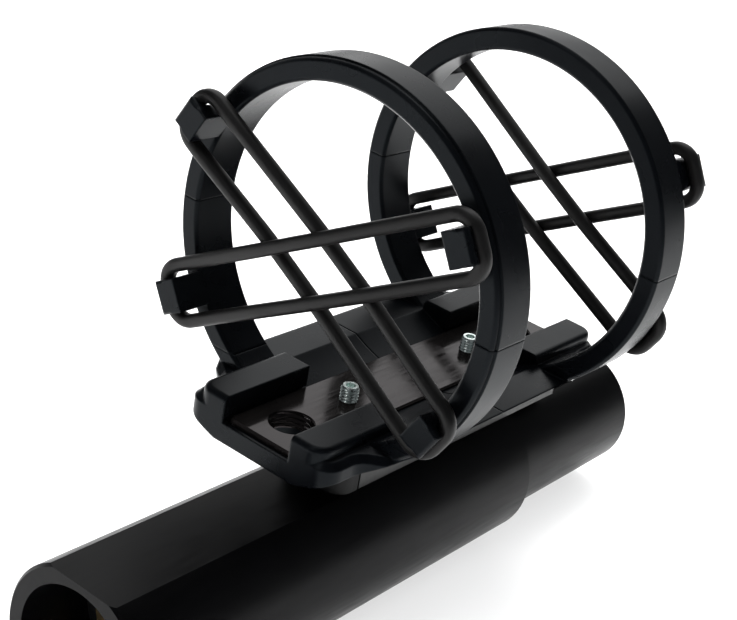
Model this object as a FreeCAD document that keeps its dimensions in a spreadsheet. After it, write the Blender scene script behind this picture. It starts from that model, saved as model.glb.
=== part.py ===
import FreeCAD, Part
import Sketcher
import os

# Microphone shock mount on a folding tube handle, in millimetres.
# The origin is the mouth of the boom thread in the end of the handle. X runs along the handle,
# Z points up towards the rings, and the mount is the same on both sides of the plane y = 0.

os.makedirs("parts", exist_ok=True)
doc = FreeCAD.newDocument("shock_mount")

# Driving dimensions

DIMENSIONS = [
    ("tube_radius", 18.0),
    ("tube_wall", 3.8),
    ("flat_depth", 2.2),
    ("tube_length", 120.0),
    ("tube_edge", 0.6),
    ("plug_depth", 14.0),
    ("plug_length", 12.0),
    ("insert_radius", 8.0),
    ("insert_length", 17.0),
    ("insert_flange_radius", 10.0),
    ("insert_flange_thick", 1.5),
    ("thread_radius", 4.1),
    ("thread_depth", 14.0),
    ("head_step", 2.5),
    ("head_length", 48.0),
    ("head_edge", 1.0),
    ("spigot_length", 20.0),
    ("slot_width", 12.0),
    ("slot_length", 38.0),
    ("slot_floor_gap", 0.8),
    ("pivot_end_gap", 15.0),
    ("pivot_radius", 3.0),
    ("pivot_head_radius", 5.0),
    ("pivot_head_thick", 3.6),
    ("pivot_head_recess", 0.6),
    ("pivot_reach", 12.0),
    ("socket_flats", 4.0),
    ("socket_depth", 2.4),
    ("lock_screw_radius", 2.0),
    ("lock_screw_length", 7.0),
    ("lock_screw_sink", 0.2),
    ("screw_tip_room", 0.5),
    ("washer_radius", 8.5),
    ("tail_width", 10.0),
    ("knuckle_radius", 9.5),
    ("bracket_width", 17.3),
    ("bracket_height", 9.88),
    ("bracket_front", 23.3),
    ("bracket_rear", 49.0),
    ("tail_clearance", 0.6),
    ("tail_top", 56.0),
    ("pad_length", 6.4),
    ("pad_corner", 4.0),
    ("rest_gap", 0.17),
    ("floor_thick", 2.6),
    ("rail_thick", 4.0),
    ("rail_width", 17.3),
    ("rail_hole_radius", 4.75),
    ("rail_hole_inset", 9.0),
    ("rail_corner", 1.5),
    ("rail_edge", 0.4),
    ("floor_hole_radius", 6.0),
    ("stop_screw_radius", 2.0),
    ("stop_screw_offset", 20.6),
    ("stop_screw_rise", 3.2),
    ("stop_screw_root", 2.3),
    ("stop_socket_flats", 2.0),
    ("fixing_screw_radius", 2.0),
    ("fixing_head_radius", 3.8),
    ("fixing_head_thick", 2.2),
    ("fixing_head_sink", 0.3),
    ("fixing_tip_gap", 1.0),
    ("fixing_hole_room", 0.2),
    ("fixing_screw_offset", 10.0),
    ("fixing_socket_flats", 2.5),
    ("pivot_setback", 64.6),
    ("ring_outer", 40.0),
    ("ring_wall", 4.8),
    ("ring_edge", 0.6),
    ("ring_width", 10.5),
    ("ring_step", 0.4),
    ("ring_step_width", 1.3),
    ("ring_face_offset", 34.4),
    ("seam_height", 0.4),
    ("seam_gap", 0.1),
    ("seam_groove", 0.5),
    ("trough_rise", 2.2),
    ("mid_gap", 0.3),
    ("foot_reach", 13.5),
    ("foot_half_width", 18.9),
    ("foot_root_width", 25.0),
    ("foot_root_length", 4.5),
    ("foot_corner", 4.0),
    ("foot_shoulder", 1.4),
    ("foot_bevel_rise", 1.4),
    ("foot_bevel_length", 6.0),
    ("end_wall_thick", 1.3),
    ("lip_rise", 4.65),
    ("lip_half_width", 16.4),
    ("lip_corner", 3.5),
    ("lip_edge", 1.2),
    ("end_wall_drop", 1.0),
    ("peg_thick", 4.0),
    ("peg_width", 7.0),
    ("peg_reach", 7.6),
    ("peg_angle", 30.0),
    ("peg_corner", 2.0),
    ("flange_thick", 1.5),
    ("flange_rise", 1.6),
    ("flange_corner", 0.5),
    ("band_thick", 2.9),
    ("band_bevel", 0.85),
    ("band_corner", 2.6),
    ("band_slack", 0.9),
    ("lower_band_offset", 1.6),
    ("upper_band_offset", 4.55),
    ("band_gap", 0.05),
    ("fit_gap", 0.05),
]

# Sizes that follow from the driving ones

DERIVED = {
    "bore_radius": "( tube_radius - tube_wall )",
    "flat_height": "( tube_radius - flat_depth )",
    "head_radius": "( tube_radius - head_step )",
    "ring_inner": "( ring_outer - ring_wall )",
    "peg_outer": "( ring_inner + peg_thick )",
    "rail_half_length": "( ring_face_offset + foot_reach - end_wall_thick )",
    "rail_hole_offset": "( rail_half_length - rail_hole_inset )",
}

sheet = doc.addObject("Spreadsheet::Sheet", "sizes")
for row, (alias, value) in enumerate(DIMENSIONS, start=1):
    sheet.set(f"A{row}", alias)
    sheet.set(f"B{row}", str(value))
    sheet.setAlias(f"B{row}", alias)
doc.recompute()


def size(text):
    """Turn words that name sheet cells or derived sizes into an expression that reads the sheet."""
    names = [alias for alias, value in DIMENSIONS]
    words = []
    for word in text.split(" "):
        if word in DERIVED:
            words.append(size(DERIVED[word]))
        else:
            words.append(f"sizes.{word}" if word in names else word)
    return " ".join(words)


def number(text):
    """The value of a size expression, for choosing edges."""
    return float(sheet.evalExpression(size(text)))


# Places worked out from the driving dimensions

TUBE_LEFT = "( 0 - plug_depth )"
TUBE_RIGHT = "( tube_length - plug_depth )"
HEAD_END = f"( {TUBE_RIGHT} + head_length )"
PIVOT_X = f"( {HEAD_END} - pivot_end_gap )"
MID_X = f"( {PIVOT_X} - pivot_setback )"
BRACKET_BOTTOM = "( flat_height + rest_gap )"
CRADLE_BOTTOM = f"( {BRACKET_BOTTOM} + bracket_height )"
RAIL_BOTTOM = f"( {CRADLE_BOTTOM} + floor_thick )"
RAIL_TOP = f"( {RAIL_BOTTOM} + rail_thick )"
RING_Z = f"( {CRADLE_BOTTOM} + ring_outer )"
RING_FACE = f"( {MID_X} - ring_face_offset )"
FOOT_END = f"( {RING_FACE} - foot_reach )"
RAIL_FRONT = f"( {MID_X} - rail_half_length )"
LIP_TOP = f"( {RAIL_TOP} + lip_rise )"
SEAM_Z = f"( {RING_Z} - seam_height )"


# Building blocks

def bind(item, **expressions):
    """Bind properties of an object to sheet expressions; __ in a name stands for a dot."""
    for name, text in expressions.items():
        item.setExpression(name.replace("__", "."), size(text))


def place(item, x="0", y="0", z="0"):
    bind(item, Placement__Base__x=x, Placement__Base__y=y, Placement__Base__z=z)


def box(name, x, y, z, length, width, height):
    item = doc.addObject("Part::Box", name)
    bind(item, Length=length, Width=width, Height=height)
    place(item, x, y, z)
    return item


AXES = {
    "x": FreeCAD.Rotation(FreeCAD.Vector(0, 1, 0), 90),
    "y": FreeCAD.Rotation(FreeCAD.Vector(1, 0, 0), -90),
    "z": FreeCAD.Rotation(),
}


def rod(name, axis, x, y, z, radius, height):
    """A cylinder that starts at a point and runs along one axis."""
    item = doc.addObject("Part::Cylinder", name)
    item.Placement.Rotation = AXES[axis]
    bind(item, Radius=radius, Height=height)
    place(item, x, y, z)
    return item


def cut(name, base, tool):
    item = doc.addObject("Part::Cut", name)
    item.Base = base
    item.Tool = tool
    return item


def fuse(name, *pieces):
    item = doc.addObject("Part::MultiFuse", name)
    item.Shapes = list(pieces)
    item.Refine = True
    return item


def common(name, *pieces):
    item = doc.addObject("Part::MultiCommon", name)
    item.Shapes = list(pieces)
    return item


def mirror(name, source, normal, x="0", z="0"):
    item = doc.addObject("Part::Mirroring", name)
    item.Source = source
    item.Normal = FreeCAD.Vector(*normal)
    bind(item, Base__x=x, Base__z=z)
    return item


def prism(name, axis, x, y, z, flats, height):
    """A hexagonal prism measured across its flats, for a key socket."""
    item = doc.addObject("Part::Prism", name)
    item.Polygon = 6
    item.Placement.Rotation = AXES[axis]
    bind(item, Circumradius=f"( {flats} ) / 1.7320508", Height=height)
    place(item, x, y, z)
    return item


def origin_plane(body, role):
    return next(item for item in body.Origin.OriginFeatures if item.Role == role)


def outline(body, name, role, corners):
    """A closed sketch of straight sides through corners whose coordinates are sheet expressions."""
    sketch = body.newObject("Sketcher::SketchObject", name)
    sketch.AttachmentSupport = [(origin_plane(body, role), "")]
    sketch.MapMode = "FlatFace"
    spots = [FreeCAD.Vector(number(across), number(up), 0) for across, up in corners]
    for index, spot in enumerate(spots):
        sketch.addGeometry(Part.LineSegment(spot, spots[(index + 1) % len(spots)]), False)
    for index in range(len(spots)):
        following = (index + 1) % len(spots)
        sketch.addConstraint(Sketcher.Constraint("Coincident", index, 2, following, 1))
    for index, (across, up) in enumerate(corners):
        for kind, text, value in (("DistanceX", across, spots[index].x), ("DistanceY", up, spots[index].y)):
            spot = sketch.addConstraint(Sketcher.Constraint(kind, index, 1, value))
            sketch.setExpression(f"Constraints[{spot}]", size(text))
    return sketch


def pad(body, name, sketch, length, both_ways=False, backwards=False):
    item = body.newObject("PartDesign::Pad", name)
    item.Profile = sketch
    item.Midplane = both_ways
    item.Reversed = backwards
    bind(item, Length=length)
    return item


def pocket(body, name, sketch):
    """A cut through the whole body, both ways from the sketch."""
    item = body.newObject("PartDesign::Pocket", name)
    item.Profile = sketch
    item.Type = "ThroughAll"
    item.Midplane = True
    return item


def edges_where(shape, test):
    return [f"Edge{index}" for index, edge in enumerate(shape.Edges, start=1) if test(edge)]


def dress(body, kind, name, base, test, **sizes):
    """A fillet or chamfer on the edges of a feature that pass a test."""
    doc.recompute()
    item = body.newObject(f"PartDesign::{kind}", name)
    item.Base = (base, edges_where(base.Shape, test))
    bind(item, **sizes)
    return item


def eased(kind, name, item, amount, test):
    """A fillet or chamfer on the edges of a solid that pass a test."""
    doc.recompute()
    shape = doc.addObject(f"Part::{kind}", name)
    shape.Base = item
    shape.Edges = [
        (index, number(amount), number(amount))
        for index, edge in enumerate(item.Shape.Edges, start=1)
        if test(edge)
    ]
    return shape


def span(edge, axis):
    """How far an edge reaches along one axis."""
    ends = [getattr(vertex.Point, axis) for vertex in edge.Vertexes]
    return max(ends) - min(ends)


def middle(edge, axis):
    return getattr(edge.BoundBox.Center, axis)


PARTS = {}


def piece(label, item):
    item.Label = label
    PARTS[label] = item
    return item


# Handle: a tube with a flat along its top, closed by a plug that carries the boom thread

handle_round = rod("handle_round", "x", TUBE_LEFT, "0", "0", "tube_radius", "tube_length")
handle_bore = rod("handle_bore", "x", f"{TUBE_LEFT} - 1", "0", "0", "bore_radius", "tube_length + 2")
handle_eased = eased("Chamfer", "handle_eased", handle_round, "tube_edge",
                     lambda edge: len(edge.Vertexes) == 1)
handle_flat = box("handle_flat", f"{TUBE_LEFT} - 1", "0 - tube_radius", "flat_height",
                  "tube_length + 2", "tube_radius * 2", "tube_radius")
lock_hole = rod("lock_hole", "z", f"{TUBE_RIGHT} - spigot_length / 2", "0", "0 - tube_radius - 1",
                "lock_screw_radius + fit_gap", "tube_radius / 2")
handle_cuts = fuse("handle_cuts", handle_bore, handle_flat, lock_hole)
piece("handle_tube", cut("handle_tube", handle_eased, handle_cuts))

plug_round = rod("plug_round", "x", "insert_flange_thick", "0", "0", "bore_radius - fit_gap", "plug_length")
plug_hole = rod("plug_hole", "x", "0", "0", "0", "insert_radius + fit_gap", "plug_length + 4")
piece("end_plug", cut("end_plug", plug_round, plug_hole))

insert_barrel = rod("insert_barrel", "x", "0", "0", "0", "insert_radius", "insert_length")
insert_flange = rod("insert_flange", "x", "0", "0", "0", "insert_flange_radius", "insert_flange_thick")
insert_solid = fuse("insert_solid", insert_barrel, insert_flange)
insert_thread = rod("insert_thread", "x", "0 - 1", "0", "0", "thread_radius", "thread_depth + 1")
piece("thread_insert", cut("thread_insert", insert_solid, insert_thread))

# Head: the fork that the mount folds in

head_round = rod("head_round", "x", TUBE_RIGHT, "0", "0", "head_radius", "head_length")
spigot = rod("spigot", "x", f"{TUBE_RIGHT} - spigot_length", "0", "0", "bore_radius - fit_gap",
             "spigot_length + 1")
head_eased = eased("Chamfer", "head_eased", head_round, "head_edge",
                   lambda edge: len(edge.Vertexes) == 1 and middle(edge, "x") > number(PIVOT_X))
head_solid = fuse("head_solid", head_eased, spigot)
fork_slot = box("fork_slot", f"{HEAD_END} - slot_length", "0 - slot_width / 2",
                "0 - knuckle_radius - slot_floor_gap", "slot_length + 1", "slot_width", "head_radius * 3")
pivot_bore = rod("pivot_bore", "y", PIVOT_X, "0 - pivot_reach - screw_tip_room", "0",
                 "pivot_radius + fit_gap", "pivot_reach + head_radius * 2")
pivot_sink = rod("pivot_sink", "y", PIVOT_X, "head_radius - pivot_head_recess - pivot_head_thick", "0",
                 "pivot_head_radius + fit_gap * 2", "head_radius")
head_lock_hole = rod("head_lock_hole", "z", f"{TUBE_RIGHT} - spigot_length / 2", "0",
                     "0 - tube_radius", "lock_screw_radius + fit_gap",
                     "lock_screw_sink + lock_screw_length + screw_tip_room")
head_cuts = fuse("head_cuts", fork_slot, pivot_bore, pivot_sink, head_lock_hole)
piece("handle_head", cut("handle_head", head_solid, head_cuts))

lock_round = rod("lock_round", "z", f"{TUBE_RIGHT} - spigot_length / 2", "0",
                 "0 - tube_radius + lock_screw_sink", "lock_screw_radius", "lock_screw_length")
lock_socket = prism("lock_socket", "z", f"{TUBE_RIGHT} - spigot_length / 2", "0", "0 - tube_radius - 1",
                    "stop_socket_flats", "socket_depth + 1")
piece("head_lock_screw", cut("head_lock_screw", lock_round, lock_socket))

pivot_shank = rod("pivot_shank", "y", PIVOT_X, "0 - pivot_reach", "0", "pivot_radius",
                  "pivot_reach + head_radius - pivot_head_recess - 1")
pivot_head = rod("pivot_head", "y", PIVOT_X, "head_radius - pivot_head_recess - pivot_head_thick", "0",
                 "pivot_head_radius", "pivot_head_thick")
pivot_solid = fuse("pivot_solid", pivot_shank, pivot_head)
pivot_socket = prism("pivot_socket", "y", PIVOT_X, "head_radius - pivot_head_recess - socket_depth", "0",
                     "socket_flats", "socket_depth + 1")
piece("pivot_screw", cut("pivot_screw", pivot_solid, pivot_socket))

WASHER_THICK = "( ( slot_width - tail_width ) / 2 - fit_gap )"
for side, start in (("far", f"slot_width / 2 - {WASHER_THICK}"), ("near", "0 - slot_width / 2")):
    washer_round = rod(f"{side}_washer_round", "y", PIVOT_X, start, "0", "washer_radius", WASHER_THICK)
    washer_hole = rod(f"{side}_washer_hole", "y", PIVOT_X, "0 - slot_width", "0", "pivot_radius + fit_gap",
                      "slot_width * 2")
    piece(f"{side}_friction_washer", cut(f"{side}_friction_washer", washer_round, washer_hole))

# Bracket: the block that carries the cradle, with a tail that reaches down into the fork

cradle_round = rod("cradle_round", "x", f"{FOOT_END} - 20", "0", RING_Z, "ring_outer", "ring_face_offset * 5")

bracket_block = box("bracket_block", f"{MID_X} - bracket_front", "0 - bracket_width / 2", BRACKET_BOTTOM,
                    "bracket_front + bracket_rear", "bracket_width", "bracket_height + 3")

tail_body = doc.addObject("PartDesign::Body", "tail_body")
tail_sketch = outline(tail_body, "tail_sketch", "XZ_Plane", [
    (f"{HEAD_END} - slot_length + tail_clearance", BRACKET_BOTTOM),
    (f"{MID_X} + bracket_rear - 6", f"{BRACKET_BOTTOM} + bracket_height"),
    (f"{MID_X} + bracket_rear", f"{BRACKET_BOTTOM} + bracket_height"),
    (f"{MID_X} + tail_top", f"{BRACKET_BOTTOM} + bracket_height / 2"),
    (f"{PIVOT_X} + knuckle_radius * 0.8", "knuckle_radius * 0.6"),
    (PIVOT_X, "0"),
    (f"{PIVOT_X} - knuckle_radius * 0.8", "0 - knuckle_radius * 0.6"),
])
tail_pad = pad(tail_body, "tail_pad", tail_sketch, "tail_width", both_ways=True)
doc.recompute()
knuckle = rod("knuckle", "y", PIVOT_X, "0 - tail_width / 2", "0", "knuckle_radius", "tail_width")
tail_bore = rod("tail_bore", "y", PIVOT_X, "0 - tail_width", "0", "pivot_radius + fit_gap", "tail_width * 2")
bracket_solid = fuse("bracket_solid", bracket_block, tail_body, knuckle)

bracket_holes = [tail_bore, cradle_round]
for end, sign in (("front", "-"), ("rear", "+")):
    bracket_holes.append(rod(f"bracket_{end}_stop_hole", "z", f"{MID_X} {sign} stop_screw_offset", "0",
                             f"{CRADLE_BOTTOM} - stop_screw_root - screw_tip_room",
                             "stop_screw_radius + fit_gap", "bracket_height"))
    bracket_holes.append(rod(f"bracket_{end}_fixing_hole", "z", f"{MID_X} {sign} fixing_screw_offset", "0",
                             BRACKET_BOTTOM, "fixing_screw_radius + fit_gap", "bracket_height * 2"))
    bracket_holes.append(rod(f"bracket_{end}_fixing_sink", "z", f"{MID_X} {sign} fixing_screw_offset", "0",
                             f"{BRACKET_BOTTOM} - 1", "fixing_head_radius + fit_gap",
                             "fixing_head_thick + fixing_head_sink + 1"))
piece("tilt_bracket", cut("tilt_bracket", bracket_solid, fuse("bracket_cuts", *bracket_holes)))

# Pad: the rubber end that the bracket rests on when the handle is folded

pad_body = doc.addObject("PartDesign::Body", "pad_body")
pad_sketch = outline(pad_body, "pad_sketch", "XY_Plane", [
    (f"{MID_X} - bracket_front - pad_length", "0 - bracket_width / 2"),
    (f"{MID_X} - bracket_front", "0 - bracket_width / 2"),
    (f"{MID_X} - bracket_front", "bracket_width / 2"),
    (f"{MID_X} - bracket_front - pad_length", "bracket_width / 2"),
])
pad_block = pad(pad_body, "pad_block", pad_sketch, "bracket_height * 4")
PAD_NOSE = number(f"{MID_X} - bracket_front - pad_length / 2")
pad_nose = dress(pad_body, "Fillet", "pad_nose", pad_block,
                 lambda edge: span(edge, "z") > 1 and middle(edge, "x") < PAD_NOSE, Radius="pad_corner")
PAD_BACK = number(f"{MID_X} - bracket_front")
pad_seam = dress(pad_body, "Chamfer", "pad_seam", pad_nose,
                 lambda edge: span(edge, "z") > 1 and middle(edge, "x") > PAD_BACK - 0.1,
                 Size="seam_groove")
doc.recompute()
pad_slab = box("pad_slab", f"{MID_X} - bracket_front - pad_length - 1", "0 - bracket_width",
               f"{BRACKET_BOTTOM} - rest_gap / 2", "pad_length + 1", "bracket_width * 2",
               "bracket_height + 3")
pad_trim = common("pad_trim", pad_body, pad_slab)
piece("rest_pad", cut("rest_pad", pad_trim, cradle_round))

# Rail: the bar that lies in the cradle's channel

rail_body = doc.addObject("PartDesign::Body", "rail_body")
rail_sketch = outline(rail_body, "rail_sketch", "XY_Plane", [
    (f"{MID_X} - rail_half_length", "0 - rail_width / 2"),
    (f"{MID_X} + rail_half_length", "0 - rail_width / 2"),
    (f"{MID_X} + rail_half_length", "rail_width / 2"),
    (f"{MID_X} - rail_half_length", "rail_width / 2"),
])
rail_pad = pad(rail_body, "rail_pad", rail_sketch, "rail_thick")
rail_corners = dress(rail_body, "Fillet", "rail_corners", rail_pad,
                     lambda edge: span(edge, "z") > 1, Radius="rail_corner")
dress(rail_body, "Chamfer", "rail_edges", rail_corners,
      lambda edge: middle(edge, "z") > number("rail_thick") - 0.01, Size="rail_edge")
place(rail_body, z=RAIL_BOTTOM)
doc.recompute()
rail_holes = []
for end, sign in (("front", "-"), ("rear", "+")):
    rail_holes.append(rod(f"rail_{end}_hole", "z", f"{MID_X} {sign} rail_hole_offset", "0",
                          f"{RAIL_BOTTOM} - 1", "rail_hole_radius", "rail_thick + 2"))
    rail_holes.append(rod(f"rail_{end}_stop_hole", "z", f"{MID_X} {sign} stop_screw_offset", "0",
                          f"{RAIL_BOTTOM} - 1", "stop_screw_radius + fit_gap", "rail_thick + 2"))
    rail_holes.append(rod(f"rail_{end}_fixing_hole", "z", f"{MID_X} {sign} fixing_screw_offset", "0",
                          f"{RAIL_BOTTOM} - 1", "fixing_screw_radius + fit_gap",
                          "rail_thick + 1 - fixing_tip_gap + fixing_hole_room"))
piece("rail_plate", cut("rail_plate", rail_body, fuse("rail_cuts", *rail_holes)))

# Screws along the rail

for end, sign in (("front", "-"), ("rear", "+")):
    stop_round = rod(f"{end}_stop_round", "z", f"{MID_X} {sign} stop_screw_offset", "0",
                     f"{CRADLE_BOTTOM} - stop_screw_root", "stop_screw_radius",
                     "stop_screw_root + floor_thick + rail_thick + stop_screw_rise")
    stop_socket = prism(f"{end}_stop_socket", "z", f"{MID_X} {sign} stop_screw_offset", "0",
                        f"{RAIL_TOP} + stop_screw_rise - socket_depth", "stop_socket_flats",
                        "socket_depth + 1")
    piece(f"{end}_stop_screw", cut(f"{end}_stop_screw", stop_round, stop_socket))

    fixing_round = rod(f"{end}_fixing_round", "z", f"{MID_X} {sign} fixing_screw_offset", "0",
                       f"{BRACKET_BOTTOM} + fixing_head_sink", "fixing_screw_radius",
                       "bracket_height + floor_thick + rail_thick - fixing_head_sink - fixing_tip_gap")
    fixing_head = rod(f"{end}_fixing_head", "z", f"{MID_X} {sign} fixing_screw_offset", "0",
                      f"{BRACKET_BOTTOM} + fixing_head_sink", "fixing_head_radius", "fixing_head_thick")
    fixing_solid = fuse(f"{end}_fixing_solid", fixing_round, fixing_head)
    fixing_socket = prism(f"{end}_fixing_socket", "z", f"{MID_X} {sign} fixing_screw_offset", "0",
                          f"{BRACKET_BOTTOM} - 1", "fixing_socket_flats", "fixing_head_thick")
    piece(f"{end}_fixing_screw", cut(f"{end}_fixing_screw", fixing_solid, fixing_socket))

# Ring: a hoop with eased edges and a fine step near its outer face

ring_full = doc.addObject("PartDesign::Body", "ring_full")
ring_section = outline(ring_full, "ring_section", "XZ_Plane", [
    ("0", "ring_inner + ring_edge"),
    ("ring_edge", "ring_inner"),
    ("ring_width - ring_edge", "ring_inner"),
    ("ring_width", "ring_inner + ring_edge"),
    ("ring_width", "ring_outer - ring_edge"),
    ("ring_width - ring_edge", "ring_outer"),
    ("ring_step_width", "ring_outer"),
    ("ring_step_width", "ring_outer - ring_step"),
    ("ring_edge", "ring_outer - ring_step"),
    ("0", "ring_outer - ring_step - ring_edge"),
])
ring_turned = ring_full.newObject("PartDesign::Revolution", "ring_turned")
ring_turned.Profile = ring_section
ring_turned.ReferenceAxis = (ring_section, ["H_Axis"])
place(ring_full, RING_FACE, "0", RING_Z)

# Pegs on the outer face of the ring: each has a flange that keeps its band on

PEG_LEFT = f"( {RING_FACE} - peg_reach )"


def peg_block(name, x, length, radius, thick):
    """A block square to the radius at the peg angle, with its middle on that radius."""
    item = doc.addObject("Part::Box", name)
    item.Placement.Rotation = FreeCAD.Rotation(FreeCAD.Vector(1, 0, 0), number("peg_angle"))
    bind(item, Length=length, Width=thick, Height="peg_width", Placement__Rotation__Angle="peg_angle * 1deg")
    across = "cos( peg_angle * 1deg )"
    up = "sin( peg_angle * 1deg )"
    place(item, x, f"( {radius} ) * {across} + peg_width / 2 * {up}",
          f"{RING_Z} + ( {radius} ) * {up} - peg_width / 2 * {across}")
    return item


def outwards(edge):
    """How far out from the ring's axis the middle of an edge lies."""
    centre = edge.BoundBox.Center
    return (centre.y ** 2 + (centre.z - number(RING_Z)) ** 2) ** 0.5


peg_stem_block = peg_block("peg_stem_block", PEG_LEFT, "peg_reach + 1", "ring_inner", "peg_thick")
peg_stem = eased("Fillet", "peg_stem", peg_stem_block, "peg_corner",
                 lambda edge: span(edge, "x") > 1 and outwards(edge) > number("peg_outer"))
flange_block = peg_block("flange_block", PEG_LEFT, "flange_thick", "ring_inner", "peg_thick + flange_rise")
peg_flange = eased("Chamfer", "peg_flange", flange_block, "flange_corner",
                   lambda edge: middle(edge, "x") < number(PEG_LEFT) + 0.1)
peg_shape = fuse("peg_shape", peg_stem, peg_flange)
peg_near = mirror("peg_near", peg_shape, (0, 1, 0))
lower_far_peg = mirror("lower_far_peg", peg_shape, (0, 0, 1), z=RING_Z)
lower_near_peg = mirror("lower_near_peg", peg_near, (0, 0, 1), z=RING_Z)

# Hoop: the upper part of the ring, above the seam

above_seam = box("above_seam", f"{RING_FACE} - 20", "0 - ring_outer * 2", f"{SEAM_Z} + seam_gap",
                 "ring_width + 40", "ring_outer * 4", "ring_outer * 3")
hoop_arc = common("hoop_arc", ring_full, above_seam)
front_hoop = piece("front_hoop", fuse("front_hoop", hoop_arc, peg_shape, peg_near))

# Arches: the two sides of the ring between the seam and the foot, each with its lower peg

arches = {}
for side, start, peg in (("far", "0", lower_far_peg), ("near", "0 - ring_outer * 2", lower_near_peg)):
    window = box(f"{side}_window", f"{RING_FACE} - 20", start, LIP_TOP,
                 "ring_width + 40", "ring_outer * 2", f"{SEAM_Z} - {LIP_TOP}")
    arc = common(f"{side}_arc", ring_full, window)
    arches[side] = piece(f"front_{side}_arch", fuse(f"front_{side}_arch", arc, peg))

# Frame: the foot of the ring in one piece with the trough and the lips that hold the rail

below_arches = box("below_arches", f"{RING_FACE} - 20", "0 - ring_outer * 2", f"{LIP_TOP} - ring_outer * 3",
                   "ring_width + 40", "ring_outer * 4", "ring_outer * 3")
frame_arc = common("frame_arc", ring_full, below_arches)

foot_body = doc.addObject("PartDesign::Body", "foot_body")
foot_sketch = outline(foot_body, "foot_sketch", "XY_Plane", [
    (FOOT_END, "0 - foot_half_width"),
    (f"{RING_FACE} - foot_root_length", "0 - foot_half_width"),
    (RING_FACE, "0 - foot_root_width"),
    (f"{RING_FACE} + ring_width", "0 - foot_root_width"),
    (f"{RING_FACE} + ring_width", "foot_root_width"),
    (RING_FACE, "foot_root_width"),
    (f"{RING_FACE} - foot_root_length", "foot_half_width"),
    (FOOT_END, "foot_half_width"),
])
foot_pad = pad(foot_body, "foot_pad", foot_sketch, f"{RAIL_TOP} + trough_rise")
FOOT_NOSE = number(FOOT_END)
FOOT_SIDE = number(f"{RING_FACE} - foot_root_length")
foot_ends = dress(foot_body, "Fillet", "foot_ends", foot_pad,
                  lambda edge: span(edge, "z") > 1 and middle(edge, "x") < FOOT_NOSE + 0.1,
                  Radius="foot_corner")
foot_waist = dress(foot_body, "Fillet", "foot_waist", foot_ends,
                   lambda edge: span(edge, "z") > 1 and abs(middle(edge, "x") - FOOT_SIDE) < 0.1
                   and span(edge, "x") < 0.01, Radius="foot_corner")
dress(foot_body, "Chamfer", "foot_tops", foot_waist,
      lambda edge: middle(edge, "z") > number(f"{RAIL_TOP} + trough_rise") - 0.01
      and middle(edge, "x") < number(RING_FACE), Size="foot_shoulder")
foot_bevel = outline(foot_body, "foot_bevel", "XZ_Plane", [
    (f"{FOOT_END} - 1", f"{CRADLE_BOTTOM} - 1"),
    (f"{FOOT_END} + foot_bevel_length", f"{CRADLE_BOTTOM} - 1"),
    (f"{FOOT_END} + foot_bevel_length", CRADLE_BOTTOM),
    (FOOT_END, f"{CRADLE_BOTTOM} + foot_bevel_rise"),
    (f"{FOOT_END} - 1", f"{CRADLE_BOTTOM} + foot_bevel_rise"),
])
pocket(foot_body, "foot_bevelled", foot_bevel)
doc.recompute()
foot_round = rod("foot_round", "x", FOOT_END, "0", RING_Z, "ring_outer", "foot_reach + ring_width / 2")
foot = common("foot", foot_body, foot_round)

lip_body = doc.addObject("PartDesign::Body", "lip_body")
lip_sketch = outline(lip_body, "lip_sketch", "XY_Plane", [
    (FOOT_END, "0 - lip_half_width"),
    (f"{RING_FACE} + ring_width", "0 - lip_half_width"),
    (f"{RING_FACE} + ring_width", "lip_half_width"),
    (FOOT_END, "lip_half_width"),
])
lip_pad = pad(lip_body, "lip_pad", lip_sketch, LIP_TOP)
lip_ends = dress(lip_body, "Fillet", "lip_ends", lip_pad,
                 lambda edge: span(edge, "z") > 1 and middle(edge, "x") < FOOT_NOSE + 0.1,
                 Radius="lip_corner")
dress(lip_body, "Fillet", "lip_tops", lip_ends,
      lambda edge: middle(edge, "z") > number(LIP_TOP) - 0.01
      and middle(edge, "x") < number(f"{RING_FACE} + ring_width") - 0.1, Radius="lip_edge")
doc.recompute()
lip_room = box("lip_room", FOOT_END, "0 - ring_outer", RAIL_TOP, "foot_reach + ring_width", "ring_outer * 2",
               "ring_outer")
lip_walls = common("lip_walls", lip_body, lip_room)

trough_round = rod("trough_round", "x", f"{RING_FACE} + ring_width - 1", "0", RING_Z, "ring_outer",
                   "ring_face_offset - ring_width + 1 - mid_gap / 2")
trough_hole = rod("trough_hole", "x", f"{RING_FACE} - 1", "0", RING_Z, "ring_inner", "ring_face_offset * 2")
trough_low = box("trough_low", f"{RING_FACE} - 1", "0 - ring_outer * 2", "0", "ring_face_offset * 2",
                 "ring_outer * 4", f"{RAIL_TOP} + trough_rise")
trough = common("trough", cut("trough_shell", trough_round, trough_hole), trough_low)

frame_solid = fuse("frame_solid", frame_arc, foot, lip_walls, trough)
channel = box("channel", f"{RAIL_FRONT} - fit_gap", "0 - rail_width / 2 - fit_gap", RAIL_BOTTOM,
              "rail_half_length * 2", "rail_width + fit_gap * 2", "ring_outer / 2")
mouth = box("mouth", f"{FOOT_END} - 1", "0 - rail_width / 2 - fit_gap", f"{RAIL_TOP} - end_wall_drop",
            "foot_reach", "rail_width + fit_gap * 2", "ring_outer / 2")
floor_hole = rod("floor_hole", "z", f"{MID_X} - rail_hole_offset", "0", f"{CRADLE_BOTTOM} - 1",
                 "floor_hole_radius", "floor_thick + 2")
floor_stop = rod("floor_stop", "z", f"{MID_X} - stop_screw_offset", "0", f"{CRADLE_BOTTOM} - 1",
                 "stop_screw_radius + fit_gap", "floor_thick + 2")
floor_fixing = rod("floor_fixing", "z", f"{MID_X} - fixing_screw_offset", "0", f"{CRADLE_BOTTOM} - 1",
                   "fixing_screw_radius + fit_gap", "floor_thick + 2")
frame_cuts = fuse("frame_cuts", channel, mouth, floor_hole, floor_stop, floor_fixing)
front_frame = piece("front_frame", cut("front_frame", frame_solid, frame_cuts))

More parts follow.
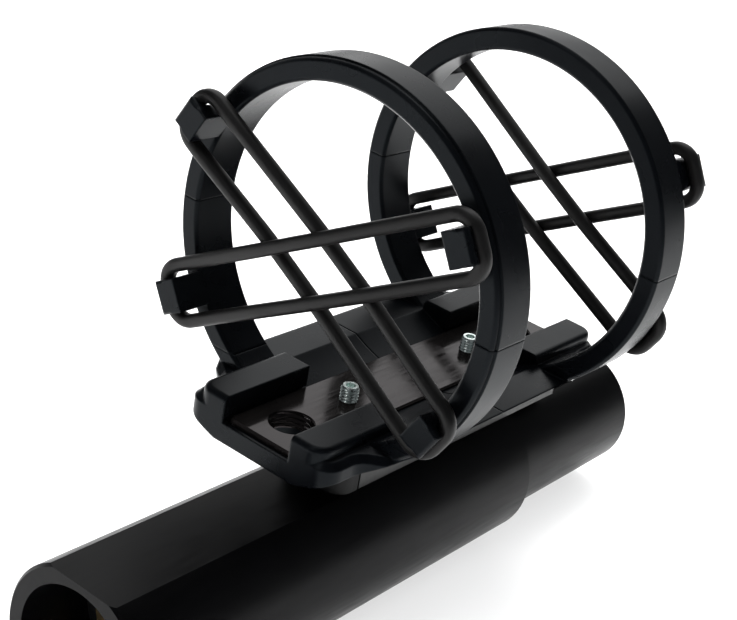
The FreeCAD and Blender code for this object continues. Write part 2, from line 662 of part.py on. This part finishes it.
# Bands: elastic loops stretched between opposite pegs

def loop_corners(across, up, corner):
    """The corners of a long loop whose rounded ends turn in steps of 30 degrees."""
    steps = [("1", "0"), ("0.8660254", "0.5"), ("0.5", "0.8660254"), ("0", "1")]
    quarter = [(f"( {across} - {corner} + {corner} * {along} )", f"( {up} - {corner} + {corner} * {rise} )")
               for along, rise in steps]
    back = list(reversed(quarter))
    return (quarter + [(f"0 - {y}", z) for y, z in back]
            + [(f"0 - {y}", f"0 - {z}") for y, z in quarter] + [(y, f"0 - {z}") for y, z in back])


def band(label, offset, angle):
    """A flat loop in a plane across the ring, turned about the ring's axis."""
    body = doc.addObject("PartDesign::Body", f"{label}_body")
    inner_long = "( peg_outer + band_gap )"
    inner_wide = "( peg_width / 2 + band_slack )"
    outer_long = f"( {inner_long} + band_thick )"
    outer_wide = f"( {inner_wide} + band_thick )"
    outer = outline(body, f"{label}_outer", "YZ_Plane",
                    loop_corners(outer_long, outer_wide, "( band_corner + band_thick )"))
    pad(body, f"{label}_solid", outer, "band_thick", both_ways=True)
    inner = outline(body, f"{label}_inner", "YZ_Plane", loop_corners(inner_long, inner_wide, "band_corner"))
    opened = pocket(body, f"{label}_opened", inner)
    dress(body, "Chamfer", f"{label}_soft", opened, lambda edge: span(edge, "x") < 0.01, Size="band_bevel")
    body.Placement.Rotation = FreeCAD.Rotation(FreeCAD.Vector(1, 0, 0), angle)
    place(body, f"{RING_FACE} - {offset}", "0", RING_Z)
    return piece(label, body)


PEG_TURN = number("peg_angle")
front_back_band = band("front_back_band", "lower_band_offset", PEG_TURN)
front_top_band = band("front_top_band", "upper_band_offset", -PEG_TURN)

# Rear half: the same pieces turned to face the other way

for label, source in (("frame", front_frame), ("hoop", front_hoop), ("far_arch", arches["far"]),
                      ("near_arch", arches["near"]), ("back_band", front_back_band),
                      ("top_band", front_top_band)):
    piece(f"rear_{label}", mirror(f"rear_{label}", source, (1, 0, 0), x=MID_X))

doc.recompute()

# Check every object and every piece, then write the pieces

for item in doc.Objects:
    if "Invalid" in item.State or "Error" in item.State:
        raise RuntimeError(f"{item.Name} failed: {item.State}")
for label, item in PARTS.items():
    if item.Shape.isNull() or not item.Shape.isValid():
        raise RuntimeError(f"{label} has no valid shape")
    if len(item.Shape.Solids) != 1:
        raise RuntimeError(f"{label} has {len(item.Shape.Solids)} solids")
    item.Shape.exportStep(f"parts/{label}.step")
    print(label, round(item.Shape.Volume, 1))
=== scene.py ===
import math

import bmesh
import bpy
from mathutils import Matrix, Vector


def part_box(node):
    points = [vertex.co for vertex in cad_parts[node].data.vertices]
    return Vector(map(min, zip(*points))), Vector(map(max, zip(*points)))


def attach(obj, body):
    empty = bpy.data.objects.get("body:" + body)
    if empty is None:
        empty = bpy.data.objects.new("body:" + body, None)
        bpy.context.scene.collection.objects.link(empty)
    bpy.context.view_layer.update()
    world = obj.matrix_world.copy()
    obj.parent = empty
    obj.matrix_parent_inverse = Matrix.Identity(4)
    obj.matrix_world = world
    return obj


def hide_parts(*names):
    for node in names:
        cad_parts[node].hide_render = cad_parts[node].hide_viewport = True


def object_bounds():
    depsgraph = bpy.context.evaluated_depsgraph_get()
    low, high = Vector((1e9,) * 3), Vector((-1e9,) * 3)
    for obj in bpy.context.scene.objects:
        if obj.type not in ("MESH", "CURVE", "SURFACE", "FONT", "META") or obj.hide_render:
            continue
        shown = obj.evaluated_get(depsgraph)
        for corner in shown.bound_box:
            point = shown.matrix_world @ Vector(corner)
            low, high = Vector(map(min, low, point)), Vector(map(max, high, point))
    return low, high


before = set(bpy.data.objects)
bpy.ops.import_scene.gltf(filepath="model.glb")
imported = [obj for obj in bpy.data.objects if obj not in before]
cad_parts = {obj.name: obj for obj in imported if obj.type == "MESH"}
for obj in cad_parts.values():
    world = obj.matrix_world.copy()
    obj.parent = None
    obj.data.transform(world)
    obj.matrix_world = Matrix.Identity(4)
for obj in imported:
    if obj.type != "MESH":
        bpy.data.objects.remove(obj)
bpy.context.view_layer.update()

# Values, in metres

CAMERA_PLACE = (-0.17910, -0.17187, 0.18909)
CAMERA_TURN = (1.133973, -0.215190, -0.971268)
CAMERA_LENS = 77.13
CAMERA_SHIFT = (-0.2598, 0.0266)

SCREW_PITCH = 0.0007
SCREW_AROUND = 32
SCREW_LEVELS_PER_TURN = 6
SCREW_TAPER_PITCHES = 0.8
SCREW_TAPER_SHARE = 0.6
THREAD_DEPTH = 0.00040
SOCKET_RADIUS = 0.00115
SOCKET_DEPTH = 0.0016

MIDDLE_X = 0.0744
RING_FACE_X = 0.0400
RING_Z = 0.06585

LOOP_HALF_LONG = 0.04060
LOOP_HALF_WIDE = 0.00585
LOOP_CORNER = 0.0041
LOOP_THICK = 0.00145
LOOP_TURN = 30.0
LOOP_SETBACK = 0.00415
LOOP_BOW = 0.00149
LOOP_SPAN = 0.0345
LOOP_AROUND = 20
LOOP_SQUARENESS = 2.6
LOOP_CORNER_STEPS = 12
LOOP_LONG_STEPS = 60
LOOP_SHORT_STEPS = 4
LOOP_SMOOTHINGS = 6

RAIL_HOLE_X = 0.0376
RAIL_HOLE_RADIUS = 0.00472
RAIL_LOW_Z = 0.02845
RAIL_TOP_Z = 0.03245
RAIL_PITCH = 0.0010
RAIL_THREAD_DEPTH = 0.00035
RAIL_THREAD_AROUND = 48
RAIL_THREAD_LEVELS = 40
RAIL_THREAD_LOW_GAP = 0.0001
RAIL_THREAD_TOP_GAP = 0.0003
RAIL_THREAD_FADE = 0.0005
RAIL_THREAD_FADE_SHARE = 0.6
RAIL_THREAD_CLEAR = 0.00002

EDGE_RADIUS = 0.0006
RAIL_TINT = (1.0, 0.86, 0.88)
MOULDING_TINT = (0.84, 0.94, 1.0)

FLOOR_HALF = 3.0
LIGHT_AIM = (0.075, 0.0, 0.035)
SKY_COLOR = (0.92, 0.96, 1.0)
SKY_STRENGTH = 0.12


# Materials

def material(name, color, rough, metal=0.0, specular=0.5, tint=(1.0, 1.0, 1.0)):
    """A new material, with its output node kept and a plain principled shader."""
    item = bpy.data.materials.new(name)
    item.use_nodes = True
    shader = item.node_tree.nodes["Principled BSDF"]
    shader.inputs["Base Color"].default_value = (*color, 1.0)
    shader.inputs["Roughness"].default_value = rough
    shader.inputs["Metallic"].default_value = metal
    shader.inputs["Specular IOR Level"].default_value = specular
    shader.inputs["Specular Tint"].default_value = (*tint, 1.0)
    item.diffuse_color = (*color, 1.0)
    return item, item.node_tree.nodes, item.node_tree.links, shader


def coordinates(nodes, links, scale=(1.0, 1.0, 1.0)):
    """Object coordinates in metres, stretched by scale."""
    where = nodes.new("ShaderNodeTexCoord")
    mapping = nodes.new("ShaderNodeMapping")
    mapping.inputs["Scale"].default_value = scale
    links.new(where.outputs["Object"], mapping.inputs["Vector"])
    return mapping.outputs["Vector"]


def noise(nodes, links, vector, scale, detail=3.0, rough=0.55):
    item = nodes.new("ShaderNodeTexNoise")
    item.inputs["Scale"].default_value = scale
    item.inputs["Detail"].default_value = detail
    item.inputs["Roughness"].default_value = rough
    links.new(vector, item.inputs["Vector"])
    return item.outputs["Fac"]


def ramp(nodes, links, value, stops):
    """A color ramp over a value; stops are (place, color) pairs."""
    item = nodes.new("ShaderNodeValToRGB")
    elements = item.color_ramp.elements
    while len(elements) < len(stops):
        elements.new(0.5)
    for element, (place, color) in zip(elements, stops):
        element.position = place
        element.color = (*color, 1.0)
    links.new(value, item.inputs["Fac"])
    return item.outputs["Color"]


def spread(nodes, links, value, low, high, start=0.3, end=0.7):
    """Map a noise value onto low to high."""
    item = nodes.new("ShaderNodeMapRange")
    item.inputs["From Min"].default_value = start
    item.inputs["From Max"].default_value = end
    item.inputs["To Min"].default_value = low
    item.inputs["To Max"].default_value = high
    links.new(value, item.inputs["Value"])
    return item.outputs["Result"]


def bump(nodes, links, shader, height, strength, distance, edge=0.0):
    """A fine relief; edge is the radius in metres over which sharp edges look rounded."""
    item = nodes.new("ShaderNodeBump")
    if edge:
        soft = nodes.new("ShaderNodeBevel")
        soft.samples = 6
        soft.inputs["Radius"].default_value = edge
        links.new(soft.outputs["Normal"], item.inputs["Normal"])
    item.inputs["Strength"].default_value = strength
    item.inputs["Distance"].default_value = distance
    links.new(height, item.inputs["Height"])
    links.new(item.outputs["Normal"], shader.inputs["Normal"])


def moulded_plastic(name, color, worn, rough, specular=0.4, tint=(1.0, 1.0, 1.0)):
    """Satin moulded plastic: fine grain, cloudy gloss and slightly paler patches."""
    item, nodes, links, shader = material(name, color, rough, specular=specular, tint=tint)
    here = coordinates(nodes, links)
    cloud = noise(nodes, links, here, 55.0, 4.0)
    fine = noise(nodes, links, here, 2600.0, 2.0)
    shade = ramp(nodes, links, cloud, [(0.30, color), (0.72, worn)])
    links.new(shade, shader.inputs["Base Color"])
    links.new(spread(nodes, links, cloud, rough - 0.05, rough + 0.09), shader.inputs["Roughness"])
    bump(nodes, links, shader, fine, 0.10, 0.00003, EDGE_RADIUS)
    return item


def coated_metal(name, color, worn, rough, brushed=(1.0, 1.0, 1.0), specular=0.4):
    """Satin black coat on turned metal: faint streaks and a fine orange peel."""
    item, nodes, links, shader = material(name, color, rough, specular=specular)
    here = coordinates(nodes, links)
    along = coordinates(nodes, links, brushed)
    cloud = noise(nodes, links, here, 40.0, 4.0)
    streak = noise(nodes, links, along, 900.0, 2.0)
    shade = ramp(nodes, links, cloud, [(0.28, color), (0.75, worn)])
    links.new(shade, shader.inputs["Base Color"])
    links.new(spread(nodes, links, streak, rough - 0.05, rough + 0.06), shader.inputs["Roughness"])
    bump(nodes, links, shader, streak, 0.10, 0.00003)
    return item


def gloss_rail():
    """Gloss black plate with a warm cast and hair-line scratches."""
    item, nodes, links, shader = material("rail_gloss", (0.011, 0.010, 0.010), 0.12, specular=0.28,
                                          tint=RAIL_TINT)
    here = coordinates(nodes, links)
    along = coordinates(nodes, links, (0.08, 1.0, 1.0))
    cloud = noise(nodes, links, here, 70.0, 4.0)
    scratch = noise(nodes, links, along, 1500.0, 2.0)
    shade = ramp(nodes, links, cloud, [(0.3, (0.010, 0.009, 0.009)), (0.75, (0.020, 0.018, 0.017))])
    links.new(shade, shader.inputs["Base Color"])
    links.new(spread(nodes, links, scratch, 0.08, 0.20), shader.inputs["Roughness"])
    bump(nodes, links, shader, scratch, 0.05, 0.00002)
    return item


def matte_rubber(name, color, worn, rough):
    """Matte black rubber with a bloom and a fine skin."""
    item, nodes, links, shader = material(name, color, rough, specular=0.22)
    here = coordinates(nodes, links)
    cloud = noise(nodes, links, here, 180.0, 4.0)
    fine = noise(nodes, links, here, 3200.0, 3.0)
    shade = ramp(nodes, links, cloud, [(0.3, color), (0.75, worn)])
    links.new(shade, shader.inputs["Base Color"])
    links.new(spread(nodes, links, cloud, rough - 0.08, rough + 0.06), shader.inputs["Roughness"])
    bump(nodes, links, shader, fine, 0.22, 0.00005)
    return item


def bare_metal(name, color, dull, rough, scale=700.0):
    """Plated or machined metal with small cloudy stains."""
    item, nodes, links, shader = material(name, color, rough, metal=1.0)
    here = coordinates(nodes, links)
    cloud = noise(nodes, links, here, scale, 3.0)
    shade = ramp(nodes, links, cloud, [(0.3, dull), (0.65, color)])
    links.new(shade, shader.inputs["Base Color"])
    links.new(spread(nodes, links, cloud, rough + 0.12, rough - 0.04), shader.inputs["Roughness"])
    bump(nodes, links, shader, cloud, 0.08, 0.00003)
    return item


def pale_floor():
    item, nodes, links, shader = material("floor_paper", (0.90, 0.90, 0.90), 0.7, specular=0.2)
    here = coordinates(nodes, links)
    cloud = noise(nodes, links, here, 3.0, 2.0)
    shade = ramp(nodes, links, cloud, [(0.3, (0.89, 0.89, 0.89)), (0.7, (0.91, 0.91, 0.91))])
    links.new(shade, shader.inputs["Base Color"])
    return item


handle_coat = coated_metal("handle_coat", (0.0020, 0.0020, 0.0024), (0.0034, 0.0034, 0.0040), 0.34,
                           (0.12, 1.0, 1.0), 0.09)
bracket_coat = coated_metal("bracket_coat", (0.005, 0.005, 0.005), (0.008, 0.008, 0.008), 0.34)
black_moulding = moulded_plastic("black_moulding", (0.0026, 0.0031, 0.0042), (0.0046, 0.0054, 0.0072), 0.28,
                                 0.11, MOULDING_TINT)
plug_moulding = moulded_plastic("plug_moulding", (0.005, 0.005, 0.005), (0.009, 0.009, 0.009), 0.48)
rail_gloss = gloss_rail()
band_rubber = matte_rubber("band_rubber", (0.0058, 0.0055, 0.0055), (0.0100, 0.0095, 0.0095), 0.46)
pad_rubber = matte_rubber("pad_rubber", (0.014, 0.014, 0.014), (0.024, 0.024, 0.024), 0.66)
zinc_screw = bare_metal("zinc_screw", (0.92, 1.00, 0.97), (0.72, 0.82, 0.80), 0.22)
black_screw = coated_metal("black_screw", (0.012, 0.012, 0.012), (0.022, 0.022, 0.021), 0.36)
thread_brass = bare_metal("thread_brass", (0.78, 0.58, 0.29), (0.55, 0.40, 0.19), 0.28)
washer_plastic = moulded_plastic("washer_plastic", (0.60, 0.60, 0.57), (0.68, 0.68, 0.65), 0.42)
floor_paper = pale_floor()

FINISHES = {
    "handle_tube": handle_coat,
    "end_plug": plug_moulding,
    "thread_insert": thread_brass,
    "handle_head": handle_coat,
    "head_lock_screw": black_screw,
    "pivot_screw": black_screw,
    "far_friction_washer": washer_plastic,
    "near_friction_washer": washer_plastic,
    "tilt_bracket": bracket_coat,
    "rest_pad": pad_rubber,
    "rail_plate": rail_gloss,
    "front_stop_screw": zinc_screw,
    "rear_stop_screw": zinc_screw,
    "front_fixing_screw": black_screw,
    "rear_fixing_screw": black_screw,
    "front_frame": black_moulding,
    "rear_frame": black_moulding,
    "front_hoop": black_moulding,
    "rear_hoop": black_moulding,
    "front_far_arch": black_moulding,
    "front_near_arch": black_moulding,
    "rear_far_arch": black_moulding,
    "rear_near_arch": black_moulding,
    "front_back_band": band_rubber,
    "front_top_band": band_rubber,
    "rear_back_band": band_rubber,
    "rear_top_band": band_rubber,
}

for node, item in FINISHES.items():
    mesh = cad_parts[node].data
    mesh.materials.clear()
    mesh.materials.append(item)


# Mesh helpers

def new_piece(name, work, finish, smooth=40.0):
    """Turn a bmesh into an object with one material, shaded smooth up to an angle in degrees."""
    bmesh.ops.recalc_face_normals(work, faces=work.faces)
    mesh = bpy.data.meshes.new(name)
    work.to_mesh(mesh)
    work.free()
    mesh.materials.append(finish)
    mesh.shade_smooth()
    mesh.set_sharp_from_angle(angle=math.radians(smooth))
    piece = bpy.data.objects.new(name, mesh)
    bpy.context.scene.collection.objects.link(piece)
    return piece


def threaded_screw(name, node):
    """A grub screw with a cut thread and a hexagon socket in its top, in its node's place."""
    low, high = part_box(node)
    low, high = Vector(low), Vector(high)
    centre = (low + high) / 2
    outer = (high.x - low.x) / 2
    root = outer - THREAD_DEPTH
    around = SCREW_AROUND
    turns = (high.z - low.z) / SCREW_PITCH
    levels = int(turns * SCREW_LEVELS_PER_TURN)
    work = bmesh.new()
    rings = []
    for level in range(levels + 1):
        z = low.z + (high.z - low.z) * level / levels
        ring = []
        for step in range(around):
            angle = 2 * math.pi * step / around
            phase = ((z - low.z) / SCREW_PITCH - step / around) % 1.0
            wave = abs(phase - 0.5) * 2
            radius = root + (outer - root) * wave
            end = min(high.z - z, z - low.z) / (SCREW_PITCH * SCREW_TAPER_PITCHES)
            if end < 1.0:
                radius = min(radius, root + (outer - root) * end * SCREW_TAPER_SHARE)
            ring.append(work.verts.new((centre.x + radius * math.cos(angle),
                                        centre.y + radius * math.sin(angle), z)))
        rings.append(ring)
    for lower, upper in zip(rings, rings[1:]):
        for step in range(around):
            after = (step + 1) % around
            work.faces.new((lower[step], lower[after], upper[after], upper[step]))
    work.faces.new(list(reversed(rings[0])))
    lip = []
    base = []
    for step in range(around):
        angle = 2 * math.pi * step / around
        turn = (angle % (math.pi / 3)) - math.pi / 6
        radius = SOCKET_RADIUS * math.cos(math.pi / 6) / math.cos(turn)
        x = centre.x + radius * math.cos(angle)
        y = centre.y + radius * math.sin(angle)
        lip.append(work.verts.new((x, y, high.z)))
        base.append(work.verts.new((x, y, high.z - SOCKET_DEPTH)))
    top = rings[-1]
    for step in range(around):
        after = (step + 1) % around
        work.faces.new((top[step], top[after], lip[after], lip[step]))
        work.faces.new((lip[step], lip[after], base[after], base[step]))
    work.faces.new(base)
    piece = new_piece(name, work, zinc_screw, 30.0)
    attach(piece, "mount")
    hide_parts(node)
    return piece


threaded_screw("front_grub_screw", "front_stop_screw")
threaded_screw("rear_grub_screw", "rear_stop_screw")


def loop_path(side, bow):
    """Points round a stretched loop, as outward, along and across; it bows outward where the loops cross."""
    corner = LOOP_CORNER
    flat_long = LOOP_HALF_LONG - corner
    flat_wide = LOOP_HALF_WIDE - corner
    outline = []
    for quarter, (turn_x, turn_y) in enumerate([(1, 1), (-1, 1), (-1, -1), (1, -1)]):
        for step in range(LOOP_CORNER_STEPS + 1):
            angle = math.pi / 2 * (quarter + step / LOOP_CORNER_STEPS)
            outline.append((turn_x * flat_long + corner * math.cos(angle),
                            turn_y * flat_wide + corner * math.sin(angle)))
        along, across = outline[-1]
        count = LOOP_LONG_STEPS if quarter % 2 == 0 else LOOP_SHORT_STEPS
        for step in range(1, count):
            share = 1 - 2 * step / count
            outline.append((along * share, across) if quarter % 2 == 0 else (along, across * share))
    near = LOOP_HALF_WIDE / math.sqrt(3) + LOOP_THICK
    far = LOOP_HALF_WIDE * math.sqrt(3) + LOOP_THICK
    points = []
    for along, across in outline:
        facing = along if across * side > 0 else -along
        if -far <= facing <= near:
            share = 1.0
        elif facing > near:
            share = max(0.0, 1 - (facing - near) / (LOOP_SPAN - near))
        else:
            share = max(0.0, 1 + (facing + far) / (LOOP_SPAN - far))
        points.append(Vector((bow * share, along, across)))
    for turn in range(LOOP_SMOOTHINGS):
        points = [point if abs(point.y) > LOOP_SPAN else
                  (points[index - 1] + point * 2 + points[(index + 1) % len(points)]) / 4
                  for index, point in enumerate(points)]
    return points


def stretched_loop(name, node, face_x, outwards, side, bow):
    """A rubber loop of soft square section, swept round its path and turned to its pegs."""
    around = LOOP_AROUND
    turn = math.radians(LOOP_TURN * side)
    path = loop_path(side, bow)
    work = bmesh.new()
    rings = []
    for index, point in enumerate(path):
        ahead = (path[(index + 1) % len(path)] - path[index - 1]).normalized()
        across = Vector((1, 0, 0)).cross(ahead).normalized()
        lift = ahead.cross(across)
        ring = []
        for step in range(around):
            angle = 2 * math.pi * step / around
            c, s = math.cos(angle), math.sin(angle)
            swell = abs(c) ** LOOP_SQUARENESS + abs(s) ** LOOP_SQUARENESS
            radius = LOOP_THICK / swell ** (1 / LOOP_SQUARENESS)
            spot = point + (across * c + lift * s) * radius
            y = spot.y * math.cos(turn) - spot.z * math.sin(turn)
            z = spot.y * math.sin(turn) + spot.z * math.cos(turn)
            ring.append(work.verts.new((face_x + outwards * (LOOP_SETBACK + spot.x), y, RING_Z + z)))
        rings.append(ring)
    for index, ring in enumerate(rings):
        following = rings[(index + 1) % len(rings)]
        for step in range(around):
            after = (step + 1) % around
            work.faces.new((ring[step], ring[after], following[after], following[step]))
    piece = new_piece(name, work, band_rubber, 60.0)
    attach(piece, "mount")
    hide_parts(node)
    return piece


REAR_FACE_X = 2 * MIDDLE_X - RING_FACE_X
for end, face_x, outwards in (("front", RING_FACE_X, -1), ("rear", REAR_FACE_X, 1)):
    stretched_loop(f"{end}_inner_loop", f"{end}_back_band", face_x, outwards, 1, -LOOP_BOW)
    stretched_loop(f"{end}_outer_loop", f"{end}_top_band", face_x, outwards, -1, LOOP_BOW)


def rail_thread(name, centre_x):
    """The thread cut in one of the rail's large holes, as a thin ridged sleeve against its wall."""
    around = RAIL_THREAD_AROUND
    levels = RAIL_THREAD_LEVELS
    inset = RAIL_THREAD_DEPTH
    low, high = RAIL_LOW_Z + RAIL_THREAD_LOW_GAP, RAIL_TOP_Z - RAIL_THREAD_TOP_GAP
    work = bmesh.new()
    walls = []
    for level in range(levels + 1):
        z = low + (high - low) * level / levels
        inner = []
        for step in range(around):
            angle = 2 * math.pi * step / around
            phase = ((z - low) / RAIL_PITCH - step / around) % 1.0
            radius = RAIL_HOLE_RADIUS - inset * (1 - abs(phase - 0.5) * 2)
            end = max(0.0, 1 - min(high - z, z - low) / RAIL_THREAD_FADE)
            radius += inset * RAIL_THREAD_FADE_SHARE * end
            radius = min(radius, RAIL_HOLE_RADIUS - RAIL_THREAD_CLEAR)
            inner.append(work.verts.new((centre_x + radius * math.cos(angle), radius * math.sin(angle), z)))
        walls.append(inner)
    for lower, upper in zip(walls, walls[1:]):
        for step in range(around):
            after = (step + 1) % around
            work.faces.new((lower[step], upper[step], upper[after], lower[after]))
    outer = []
    for z in (low, high):
        outer.append([work.verts.new((centre_x + RAIL_HOLE_RADIUS * math.cos(2 * math.pi * step / around),
                                      RAIL_HOLE_RADIUS * math.sin(2 * math.pi * step / around), z))
                      for step in range(around)])
    for step in range(around):
        after = (step + 1) % around
        work.faces.new((walls[0][step], walls[0][after], outer[0][after], outer[0][step]))
        work.faces.new((walls[-1][step], outer[1][step], outer[1][after], walls[-1][after]))
        work.faces.new((outer[0][step], outer[0][after], outer[1][after], outer[1][step]))
    piece = new_piece(name, work, rail_gloss, 50.0)
    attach(piece, "mount")
    return piece


rail_thread("front_rail_thread", MIDDLE_X - RAIL_HOLE_X)
rail_thread("rear_rail_thread", MIDDLE_X + RAIL_HOLE_X)


# Floor, light and camera

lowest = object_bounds()[0][2]
floor_mesh = bpy.data.meshes.new("floor")
floor_corners = [(x * FLOOR_HALF, y * FLOOR_HALF, lowest) for x, y in ((-1, -1), (1, -1), (1, 1), (-1, 1))]
floor_mesh.from_pydata(floor_corners, [], [(0, 1, 2, 3)])
floor_mesh.materials.append(floor_paper)
floor = bpy.data.objects.new("floor", floor_mesh)
bpy.context.scene.collection.objects.link(floor)


def only(name, *members):
    """A collection of just these objects, for a light that reaches nothing else."""
    group = bpy.data.collections.new(name)
    for member in members:
        group.objects.link(member)
    return group


def soft_light(name, place, aim, width, height, radiance):
    """A rectangular soft box that faces a point, as bright as a white card of that radiance."""
    data = bpy.data.lights.new(name, "AREA")
    data.shape = "RECTANGLE"
    data.size = width
    data.size_y = height
    data.energy = radiance * math.pi * width * height
    light = bpy.data.objects.new(name, data)
    light.location = place
    light.rotation_euler = (Vector(aim) - Vector(place)).to_track_quat("-Z", "Y").to_euler()
    bpy.context.scene.collection.objects.link(light)
    return light


soft_light("backdrop", (1.50, 1.05, 0.95), LIGHT_AIM, 2.6, 1.7, 1.3)
soft_light("overhead", (0.35, 0.25, 1.10), LIGHT_AIM, 0.8, 0.8, 2.4)
soft_light("fill", (-0.55, 0.15, 0.75), LIGHT_AIM, 0.30, 0.30, 2.0)
floor_lit = only("floor_lit", floor)
for wash in (soft_light("floor_wash", (0.2, 0.1, 1.6), (0.2, 0.1, 0.0), 2.4, 2.4, 2.7),
             soft_light("floor_glow", (0.25, 0.40, 0.70), (0.20, 0.15, 0.0), 0.7, 0.7, 3.0)):
    wash.light_linking.receiver_collection = floor_lit
    wash.light_linking.blocker_collection = floor_lit

world = bpy.data.worlds.new("studio")
world.use_nodes = True
world.node_tree.nodes["Background"].inputs["Color"].default_value = (*SKY_COLOR, 1.0)
world.node_tree.nodes["Background"].inputs["Strength"].default_value = SKY_STRENGTH
bpy.context.scene.world = world

lens = bpy.data.cameras.new("camera")
lens.sensor_fit = "HORIZONTAL"
lens.sensor_width = 36.0
lens.lens = CAMERA_LENS
lens.shift_x, lens.shift_y = CAMERA_SHIFT
lens.clip_start = 0.01
lens.clip_end = 20.0
camera = bpy.data.objects.new("camera", lens)
camera.location = CAMERA_PLACE
camera.rotation_euler = CAMERA_TURN
bpy.context.scene.collection.objects.link(camera)
bpy.context.scene.camera = camera
bpy.context.scene.view_settings.view_transform = "Standard"
